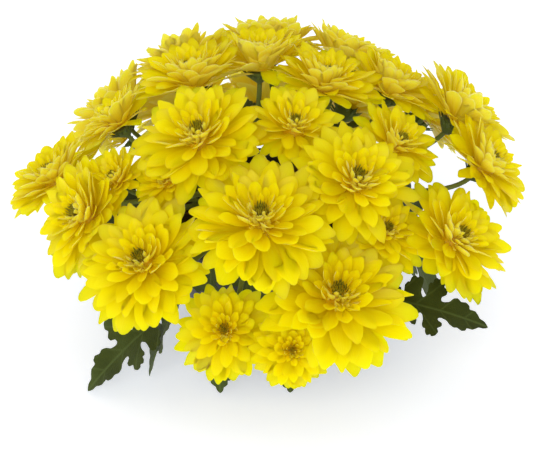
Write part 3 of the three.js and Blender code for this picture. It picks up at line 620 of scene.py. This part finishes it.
# Leaves that hang between the pot's rim and the low blooms, and hide the pot.
COVER_LEAVES = [
    (-138, 66, 80, -140, 74, 40),
    (-118, 66, 80, -118, 74, 40),
    (-98, 66, 80, -98, 74, 40),
    (-78, 66, 80, -78, 74, 40),
    (-58, 66, 80, -58, 74, 40),
]


def leaf_form(half):
    """A flat leaf of length 1 along X, cut fine enough to bend. Z is 1 above and -1 below."""
    form = bmesh.new()
    outline = half + [(1, 0)] + [(u, -v) for u, v in reversed(half)]
    corners = [form.verts.new((u, v, 0)) for u, v in outline]
    form.faces.new(corners)
    rounded = [c for c in corners if 0.12 < c.co.x < 0.98]
    bmesh.ops.bevel(
        form, geom=rounded, affect="VERTICES", offset=TOOTH_ROUNDING, segments=2, profile=0.5, material=-1,
        clamp_overlap=True,
    )
    for across in LEAF_CUTS:
        bmesh.ops.bisect_plane(
            form, geom=form.verts[:] + form.edges[:] + form.faces[:], dist=1e-5,
            plane_co=(across, 0, 0), plane_no=(1, 0, 0),
        )
    for aside in LEAF_ASIDES:
        bmesh.ops.bisect_plane(
            form, geom=form.verts[:] + form.edges[:] + form.faces[:], dist=1e-5,
            plane_co=(0, aside, 0), plane_no=(0, 1, 0),
        )
    bmesh.ops.triangulate(form, faces=form.faces[:])
    for face in form.faces:
        if face.normal.z < 0:
            face.normal_flip()
    bmesh.ops.solidify(form, geom=form.faces[:], thickness=1)
    levels = sorted({round(vertex.co.z, 3) for vertex in form.verts})
    middle = (levels[0] + levels[-1]) / 2
    for vertex in form.verts:
        vertex.co.z = 1 if vertex.co.z > middle else -1
    bmesh.ops.recalc_face_normals(form, faces=form.faces[:])
    layer = form.loops.layers.uv.new("blade")
    for face in form.faces:
        face.material_index = 1 if face.normal.z < -0.5 else 0
        for loop in face.loops:
            loop[layer].uv = (loop.vert.co.y + 0.5, loop.vert.co.x)
    return mesh_from(form, "leaf")


def bent_leaf(flat, length, waves):
    """The leaf's points: folded up along the midrib, drooping to the tip, and waved at the lobes."""
    u, v = flat[:, 0], flat[:, 1]
    height = LEAF_FOLD * np.abs(v) - LEAF_DROOP * u**2
    height += 0.02 * np.abs(v) / 0.3 * np.sin(17 * u + waves) - 0.25 * np.maximum(np.abs(v) - 0.2, 0) ** 1.5
    thick = LEAF_THICKNESS / 2 * flat[:, 2]
    return np.stack([u * length, v * length, height * length + thick], axis=1)


def stalk_root(cutting, base, tip):
    """The nearest place on a branch behind the leaf, for its stalk to grow from."""
    heading = (tip - base).normalized()
    best = None
    for head in [h for h in heads if h.cutting == cutting]:
        for low, share in itertools.product((0, 8, 16), (0.1, 0.3, 0.5, 0.7, 0.9)):
            point = head.line[low].lerp(head.line[low + 8], share)
            if any((other - point).length < STALK_SPACING for other in stalk_roots):
                continue
            # A stalk that would bend back on its leaf counts as five times as long.
            length = (point - base).length
            ahead = (base - point).dot(heading) / length
            cost = length * (1 if ahead > 0.45 else 5)
            if best is None or cost < best[0]:
                near = min(head.line, key=lambda p: (p - point).length)
                best = (cost, point, near)
    return best[1], best[2]


def grow_leaf(form, base, tip, draw):
    """A leaf on its stalk, swung, tilted or made smaller until it is clear of all else."""
    cutting = sector(math.degrees(math.atan2(base.y + tip.y, base.x + tip.x)))
    root, grip = stalk_root(cutting, base, tip)
    flat = points_of(form)
    outward = Vector((base.x + tip.x, base.y + tip.y, 0)).normalized()
    waves = draw.uniform(0, 6)
    for shrink, lift, swing, roll in itertools.product(SHRINKS, LIFTS, SWINGS, ROLLS):
        reach = Matrix.Rotation(math.radians(swing), 3, "Z") @ tip
        end = base.lerp(reach, shrink) + Vector((0, 0, lift * MM))
        heading = (end - base).normalized()
        # The leaf turns its upper side up and a little outwards.
        normal = Vector((0, 0, 1)) + outward * 0.7
        normal = (normal - heading * normal.dot(heading)).normalized()
        normal.rotate(Matrix.Rotation(math.radians(roll), 3, heading))
        turn = np.array([heading, normal.cross(heading), normal]).T
        local = bent_leaf(flat, (end - base).length, waves)
        points = local @ turn.T + np.array(base)
        if points[:, 2].min() < FLOOR_CLEARANCE:
            continue
        leaf = Obstacle(points, faces_of(form), "leaf")
        if any(leaf.touches(other) for other in taken + cad_blooms):
            continue
        taken.append(leaf)
        stalk_roots.append(root)
        tone = draw.random()
        growths[cutting].grow(form, points, leafy=1.0, tone=tone, wood=0.0)
        along = np.array([(u, 0, 0) for u in RIB_PLACES])
        rib = bent_leaf(along, (end - base).length, waves) @ turn.T + np.array(base)
        line = [grip, root.lerp(base, 0.5), base] + [Vector(p) - normal * 0.25 * MM for p in rib]
        radii = [1.1 * STALK_RADIUS, STALK_RADIUS, 0.9 * STALK_RADIUS] + [r * MM for r in RIB_RADII]
        points = swept(points_of(stalk_form), line, radii)
        growths[cutting].grow(stalk_form, points, leafy=0.7, tone=tone, wood=0.0)
        return


cad_blooms = []
for head in heads:
    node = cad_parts[f"bloom_{head.name}"]
    cad_blooms.append(Obstacle(points_of(node.data), faces_of(node.data), "bloom"))
stalk_roots = []
toothed = leaf_form(LEAF_HALF)
draw = random.Random(4711)
for azimuth, radius, height, tip_azimuth, tip_radius, tip_height in SHOWN_LEAVES + COVER_LEAVES:
    base = polar(azimuth, radius * MM, height * MM)
    grow_leaf(toothed, base, polar(tip_azimuth, tip_radius * MM, tip_height * MM), draw)
# The skirt under the blooms, from the right round the back to the left.
for k in range(SKIRT_LEAVES):
    azimuth = -14 + 18.5 * k + draw.uniform(-3, 3)
    tip = polar(azimuth + draw.uniform(-8, 8), draw.uniform(108, 124) * MM, draw.uniform(30, 50) * MM)
    grow_leaf(toothed, polar(azimuth, 70 * MM, 84 * MM), tip, draw)
# Small leaves among the branches.
for k in range(INNER_LEAVES):
    azimuth = 45 * (k + 0.3) + draw.uniform(-6, 6)
    tip = polar(azimuth + draw.uniform(-12, 12), 84 * MM, draw.uniform(100, 116) * MM)
    grow_leaf(toothed, polar(azimuth, 52 * MM, 100 * MM), tip, draw)


def leaf_finish(name, dark, mid, light, relief):
    """Living leaf and stem: matte, softly hairy skin, with veins a little paler than the blade."""
    material, tree, shader = finish_named(name, 0.66, 1.42)
    shader.inputs["Specular IOR Level"].default_value = 0.22
    place = add(tree, "ShaderNodeTexCoord").outputs["Object"]
    tone = add(tree, "ShaderNodeAttribute", attribute_name="tone").outputs["Fac"]
    leafy = add(tree, "ShaderNodeAttribute", attribute_name="leafy").outputs["Fac"]
    wood = add(tree, "ShaderNodeAttribute", attribute_name="wood").outputs["Fac"]
    # Patches of 12 mm and skin cells drawn at 0.8 mm, as coarse as they need to be to show.
    patches = add(tree, "ShaderNodeTexNoise", {"Vector": place, "Scale": 85, "Detail": 4})
    cells = add(tree, "ShaderNodeTexVoronoi", {"Vector": place, "Scale": 1250})
    share = add(tree, "ShaderNodeMath", {0: patches.outputs["Fac"], 1: tone}, operation="ADD")
    share = add(tree, "ShaderNodeMath", {0: share.outputs[0], 1: 0.5}, operation="MULTIPLY")
    blade = ramp(tree, share.outputs[0], [(0.2, dark), (0.5, mid), (0.8, light)])
    # Veins: the midrib, and side veins that leave it at a slant into the lobes.
    sheet = add(tree, "ShaderNodeUVMap", uv_map="blade").outputs["UV"]
    sheet = add(tree, "ShaderNodeSeparateXYZ", {"Vector": sheet})
    aside = add(tree, "ShaderNodeMath", {0: sheet.outputs["X"], 1: 0.5}, operation="SUBTRACT")
    aside = add(tree, "ShaderNodeMath", {0: aside.outputs[0]}, operation="ABSOLUTE").outputs[0]
    slant = add(tree, "ShaderNodeMath", {0: aside, 1: -0.75, 2: sheet.outputs["Y"]}, operation="MULTIPLY_ADD")
    beat = add(tree, "ShaderNodeMath", {0: slant.outputs[0], 1: 0.125}, operation="PINGPONG").outputs[0]
    fade = {"Value": beat, "From Min": 0, "From Max": 0.018, "To Min": 0.45, "To Max": 0}
    side_vein = add(tree, "ShaderNodeMapRange", fade)
    fade = {"Value": aside, "From Min": 0.004, "From Max": 0.02, "To Min": 0.7, "To Max": 0}
    midrib = add(tree, "ShaderNodeMapRange", fade)
    vein = add(tree, "ShaderNodeMath", {0: side_vein.outputs[0], 1: midrib.outputs[0]}, operation="MAXIMUM")
    vein = add(tree, "ShaderNodeMath", {0: vein.outputs[0], 1: leafy}, operation="MULTIPLY").outputs[0]
    veined = add(tree, "ShaderNodeMix", {0: vein, 6: blade, 7: linear(light)}, data_type="RGBA")
    stem = ramp(tree, share.outputs[0], [(0.25, "5b6a2a"), (0.75, "7c8a3c")])
    bare = add(tree, "ShaderNodeMix", {0: leafy, 6: stem, 7: veined.outputs[2]}, data_type="RGBA")
    brown = add(tree, "ShaderNodeMix", {0: wood, 6: bare.outputs[2], 7: linear("5a4a2c")}, data_type="RGBA")
    tree.links.new(brown.outputs[2], shader.inputs["Base Color"])
    height = {0: vein, 1: relief, 2: cells.outputs["Distance"]}
    height = add(tree, "ShaderNodeMath", height, operation="MULTIPLY_ADD")
    bump = add(tree, "ShaderNodeBump", {"Height": height.outputs[0], "Strength": 0.5, "Distance": 0.0004})
    tree.links.new(bump.outputs["Normal"], shader.inputs["Normal"])
    shader.inputs["Sheen Weight"].default_value = 0.04
    shader.inputs["Sheen Roughness"].default_value = 0.5
    return material


leaf_top = leaf_finish("chrysanthemum leaf, upper face", "2a330a", "3c4714", "546330", -1.2)
leaf_back = leaf_finish("chrysanthemum leaf, lower face", "3c4820", "4a572a", "64724a", 1.2)
for name, growth in zip(CUTTINGS, growths):
    growth.ended(f"stems_{name}", f"cutting_{name}", "leaf_green", [leaf_top, leaf_back], 60)

# Blooms: double yellow heads. Thin satin ray petals follow one spiral from the broad drooping outer ones
# to the short incurved ones at the middle, round an eye of unopened green florets, all on one dome.
SPIRAL_TURN = math.radians(137.508)
FULL_PETALS = 98
SMALL_PETALS = 72
BUD_PETALS = 34
EYE_FLORETS = 48
CURLED_FLORETS = 22
SMALL_BLOOM = 62 * MM
PETAL_THICKNESS = 0.3 * MM
# Along the spiral, from the first outer petal at 0 to the last inner one at 1. Lengths are shares of the
# bloom's radius, and angles are in degrees.
SPIRAL = {
    "place": [0, 0.2, 0.36, 0.5, 0.64, 0.77, 0.9, 1],
    "pitch": [2, 13, 21, 28, 36, 41, 46, 54],
    "length": [0.77, 0.79, 0.76, 0.67, 0.55, 0.42, 0.29, 0.18],
    "width": [0.3, 0.3, 0.29, 0.27, 0.235, 0.19, 0.14, 0.09],
    "arch": [-16, -14, -10, -4, 4, 16, 34, 55],
    "cup": [0.25, 0.25, 0.28, 0.35, 0.5, 0.8, 1.3, 1.8],
    "ring": [0.24, 0.23, 0.215, 0.2, 0.175, 0.145, 0.11, 0.08],
    "height": [-0.015, 0.01, 0.04, 0.08, 0.13, 0.18, 0.23, 0.265],
}
BENDS = [0, 6, -6, 12, -12, 18, -18, 26, -26, -34]
LENGTHS = [1, 0.88, 0.76, 0.64, 0.52, 0.42]
CLOSED_RISE = 34
OUTWARD_OPENING = 15
# The dome under the petals, from its lower middle to its top, as shares of the bloom's radius.
CORE_PROFILE = [
    (0, -0.03), (0.19, -0.03), (0.25, 0.0), (0.23, 0.05), (0.19, 0.12), (0.14, 0.2), (0.08, 0.27), (0, 0.29),
]
# Florets of the eye have a higher mark than this, and petals a lower one.
EYE_MARKS_FROM = 1.1
# Strength of the petals' painted glow.
PAINTED_PETAL_GLOW = 0.09


def bloom_core(head):
    """The dome that every petal and floret stands on, closed below."""
    form = turned([(radius * head.size, height * head.size) for radius, height in CORE_PROFILE], 20)
    form.loops.layers.uv.new("blade")
    return mesh_from(form, "core")


def petal_wanted(head, t, azimuth, draw):
    """The petal at a share of the spiral, in metres and radians, as it would grow with room all round."""
    at = {name: float(np.interp(t, SPIRAL["place"], row)) for name, row in SPIRAL.items()}
    # The side towards the light opens wider than the side towards the plant.
    at["pitch"] -= OUTWARD_OPENING * math.cos(azimuth) * math.sin(math.pi * min(1, 0.12 + t))
    return dict(
        azimuth=azimuth,
        ring=at["ring"] * head.size, height=at["height"] * head.size,
        length=at["length"] * head.size * (1.04 - (0.1 + 0.14 * (1 - t)) * draw.random()),
        width=at["width"] * head.size * (1 + 0.13 * draw.uniform(-1, 1)),
        pitch=math.radians(at["pitch"] + 9 * draw.uniform(-1, 1) + (1 - head.openness) * CLOSED_RISE),
        arch=math.radians(at["arch"] + 16 * draw.uniform(-1, 1)),
        cup=at["cup"] * (1 + 0.25 * draw.uniform(-1, 1)), channel=0.05 + 0.04 * draw.random(),
        ripple=0.14 * draw.random(), phase=draw.uniform(0, 6.28), roll=math.radians(14 * draw.uniform(-1, 1)),
        twist=math.radians(24 * draw.uniform(-1, 1)), sway=0.09 * draw.uniform(-1, 1),
        blunt=draw.uniform(0.04, 0.09), taper=draw.uniform(0, 0.45), thickness=PETAL_THICKNESS,
    )


petal_form = blade_form(4, 8)
probe_form = blade_form(2, 4)
floret_form = blade_form(2, 4)
curl_form = blade_form(2, 6)
petal_flat, probe_flat, floret_flat = points_of(petal_form), points_of(probe_form), points_of(floret_form)
curl_flat = points_of(curl_form)
probe_faces = faces_of(probe_form)


def fitted(head, petal):
    """The petal bent up or down, then shortened, until it is clear of everything that isn't its own bloom."""
    for share in LENGTHS:
        for bend in BENDS:
            tried = dict(petal, pitch=petal["pitch"] + math.radians(bend), length=petal["length"] * share)
            tried["width"] = petal["width"] * (0.4 + 0.6 * share)
            points = head.placed(curved(probe_flat, tried))
            if points[:, 2].min() < FLOOR_CLEARANCE:
                continue
            probe = Obstacle(points, probe_faces, head.name)
            if not any(probe.touches(other) for other in head.neighbours):
                return tried, points
    return None, None


left_out = 0
blooms = []
for number, head in enumerate(heads):
    draw = random.Random(101 + 17 * number)
    centre = np.array(head.origin)
    head.neighbours = [
        o for o in taken
        if o.owner not in (f"{head.name} heart", f"{head.name} branch")
        and np.linalg.norm(o.centre - centre) < o.reach + 1.3 * head.size
    ]
    growth = Growth()
    core_mesh = bloom_core(head)
    growth.grow(core_mesh, head.placed(points_of(core_mesh)), inner=1.0, tone=0.5)
    count = FULL_PETALS if 2 * head.size >= SMALL_BLOOM else SMALL_PETALS
    if head.openness < 0.5:
        count = BUD_PETALS
    probes = []
    for k in reversed(range(count)):
        t = k / (count - 1)
        petal = petal_wanted(head, t, k * SPIRAL_TURN, draw)
        tone = draw.random()
        petal, probe = fitted(head, petal)
        if petal is None:
            left_out += 1
            continue
        probes.append(probe)
        growth.grow(petal_form, head.placed(curved(petal_flat, petal)), inner=t, tone=tone)
    # Short curled florets crowd the outward side of the eye.
    for k in range(CURLED_FLORETS if head.openness > 0.5 else 0):
        share = (k + 0.5) / CURLED_FLORETS
        curled = dict(
            azimuth=draw.gauss(0, 0.75),
            ring=(0.12 + 0.06 * share) * head.size, height=(0.24 - 0.09 * share) * head.size,
            length=(0.15 + 0.12 * share) * head.size * draw.uniform(0.8, 1.2),
            width=draw.uniform(0.07, 0.12) * head.size,
            pitch=math.radians(58 - 34 * share + 12 * draw.uniform(-1, 1)),
            arch=math.radians(draw.uniform(30, 120)),
            cup=draw.uniform(0.8, 2), channel=0, ripple=0.2, phase=draw.uniform(0, 6.28),
            roll=draw.uniform(-0.7, 0.7), twist=draw.uniform(-1.1, 1.1), sway=0.3 * draw.uniform(-1, 1),
            blunt=0.1, taper=0.4, thickness=PETAL_THICKNESS,
        )
        growth.grow(curl_form, head.placed(curved(curl_flat, curled)), inner=1.05, tone=draw.random())
    for k in range(EYE_FLORETS):
        share = (k + 0.5) / EYE_FLORETS
        floret = dict(
            azimuth=k * SPIRAL_TURN, ring=0.1 * head.size * math.sqrt(share),
            height=(0.285 - 0.02 * share) * head.size,
            length=(0.1 + 0.05 * share) * head.size * draw.uniform(0.8, 1.15),
            width=0.028 * head.size, pitch=math.radians(92 - 14 * share + 6 * draw.uniform(-1, 1)),
            arch=math.radians(36 * share), cup=1.3, channel=0, ripple=0, phase=0, roll=0, twist=0, sway=0,
            blunt=0.15, taper=0.3, thickness=0.4 * MM,
        )
        points = head.placed(curved(floret_flat, floret))
        growth.grow(floret_form, points, inner=1.2 + 0.3 * (1 - share), tone=draw.random())
    faces = [tuple(v + k * len(probe_flat) for v in face) for k in range(len(probes)) for face in probe_faces]
    taken.append(Obstacle(np.concatenate(probes), faces, head.name))
    blooms.append((head, growth))
print("petals without room:", left_out)


def petal_finish(name, deep, mid, tip, pale):
    """Ray petal: thin, satin, a little see-through, with fine lengthwise veins, painted shade deep in the
    bloom and a faint painted glow.
    """
    material, tree, shader = finish_named(name, 0.42, 1.4)
    sheet = add(tree, "ShaderNodeUVMap", uv_map="blade").outputs["UV"]
    ends = add(tree, "ShaderNodeSeparateXYZ", {"Vector": sheet})
    inner = add(tree, "ShaderNodeAttribute", attribute_name="inner").outputs["Fac"]
    tone = add(tree, "ShaderNodeAttribute", attribute_name="tone").outputs["Fac"]
    # From the deep yellow claw to the bright tip, deeper towards the middle of the bloom. This is partly the
    # petals' own deeper yellow and partly painted shade of the bloom's depths. The claws of the innermost
    # petals, the curled florets and the dome get a painted orange-brown shade.
    share = add(tree, "ShaderNodeMath", {0: inner, 1: -0.42, 2: ends.outputs["Y"]}, operation="MULTIPLY_ADD")
    share = add(tree, "ShaderNodeMath", {0: tone, 1: 0.22, 2: share.outputs[0]}, operation="MULTIPLY_ADD")
    share = add(tree, "ShaderNodeMapRange", {"Value": share.outputs[0], "From Min": -0.42, "From Max": 1.2})
    body = ramp(tree, share.outputs[0], [(0.0, "9c6a0c"), (0.1, deep), (0.42, mid), (0.85, tip)])
    # Veins 0.7 mm apart over a 9 mm petal.
    stretched = add(tree, "ShaderNodeMapping", {"Vector": sheet, "Scale": (13, 0.8, 1)})
    veins = add(tree, "ShaderNodeTexNoise", {"Vector": stretched.outputs["Vector"], "Scale": 1, "Detail": 2})
    streak = {"Value": veins.outputs["Fac"], "From Min": 0.45, "From Max": 0.75, "To Max": 0.35}
    streak = add(tree, "ShaderNodeMapRange", streak)
    veined = add(tree, "ShaderNodeMix", {0: streak.outputs[0], 6: body, 7: linear(pale)}, data_type="RGBA")
    tree.links.new(veined.outputs[2], shader.inputs["Base Color"])
    bump = add(tree, "ShaderNodeBump", {"Height": veins.outputs["Fac"], "Strength": 0.3, "Distance": 0.0003})
    tree.links.new(bump.outputs["Normal"], shader.inputs["Normal"])
    shader.inputs["Specular IOR Level"].default_value = 0.18
    shader.inputs["Subsurface Weight"].default_value = 1
    shader.inputs["Subsurface Radius"].default_value = (1, 0.75, 0.1)
    shader.inputs["Subsurface Scale"].default_value = 0.003
    # Painted light: the petals glow faintly in their own colour. The glow stands in for light that has
    # wandered through many petals into the depths of the bloom.
    tree.links.new(veined.outputs[2], shader.inputs["Emission Color"])
    shader.inputs["Emission Strength"].default_value = PAINTED_PETAL_GLOW
    return material


petal_top = petal_finish("ray petal, upper face", "dcb400", "e6c800", "e9d000", "ead820")
petal_back = petal_finish("ray petal, lower face", "dab808", "e4ca20", "e8d548", "ecdc70")

eye_floret, tree, shader = finish_named("unopened floret", 0.55, 1.4)
sheet = add(tree, "ShaderNodeUVMap", uv_map="blade").outputs["UV"]
ends = add(tree, "ShaderNodeSeparateXYZ", {"Vector": sheet})
colour = ramp(tree, ends.outputs["Y"], [(0.0, "3c3608"), (0.45, "6f6a12"), (1.0, "b4a61c")])
tree.links.new(colour, shader.inputs["Base Color"])
finishes = [petal_top, petal_back, eye_floret]
for head, growth in blooms:
    piece = growth.ended(f"flower_{head.name}", f"bloom_{head.name}", "petal_yellow", finishes)
    inner = np.empty(len(piece.data.vertices))
    piece.data.attributes["inner"].data.foreach_get("value", inner)
    for face in piece.data.polygons:
        if inner[face.vertices[0]] > EYE_MARKS_FROM:
            face.material_index = 2

# Room: the plant stands on a white paper sweep under a broad soft light, seen from 30 degrees above. The
# paper is matte, and its faint bluish glow offsets the yellow light that the petals cast on it.
PAPER_GLOW = 0.46
CAMERA_PLACE = (0.0012, -0.99593, 0.64329)
CAMERA_AIM = (0.0012, 0, 0.0683)
LENS_LENGTH = 131.504

paper, tree, shader = finish_named("white paper", 0.9, 1.5)
shader.inputs["Base Color"].default_value = linear("f5f5f5")
shader.inputs["Specular IOR Level"].default_value = 0
shader.inputs["Emission Color"].default_value = linear("e6eeff")
shader.inputs["Emission Strength"].default_value = PAPER_GLOW
sweep = bmesh.new()
bmesh.ops.create_grid(sweep, x_segments=1, y_segments=1, size=4)
floor = bpy.data.objects.new("sweep", mesh_from(sweep, "sweep"))
floor.data.materials.append(paper)
bpy.context.collection.objects.link(floor)

world = bpy.data.worlds.new("studio")
world.use_nodes = True
world.node_tree.nodes["Background"].inputs["Color"].default_value = (1, 1, 1, 1)
world.node_tree.nodes["Background"].inputs["Strength"].default_value = 0.7
bpy.context.scene.world = world

softbox = bpy.data.lights.new("softbox", "SUN")
softbox.energy = 1.3
softbox.angle = math.radians(34)
lamp = bpy.data.objects.new("softbox", softbox)
lamp.rotation_euler = (math.radians(60), 0, math.radians(-10))
bpy.context.collection.objects.link(lamp)

lens = bpy.data.cameras.new("camera")
lens.lens = LENS_LENGTH
lens.sensor_width = 36
camera = bpy.data.objects.new("camera", lens)
camera.location = CAMERA_PLACE
aim = Vector(CAMERA_AIM) - camera.location
camera.rotation_euler = aim.to_track_quat("-Z", "Y").to_euler()
bpy.context.collection.objects.link(camera)
bpy.context.scene.camera = camera
bpy.context.scene.view_settings.view_transform = "Standard"
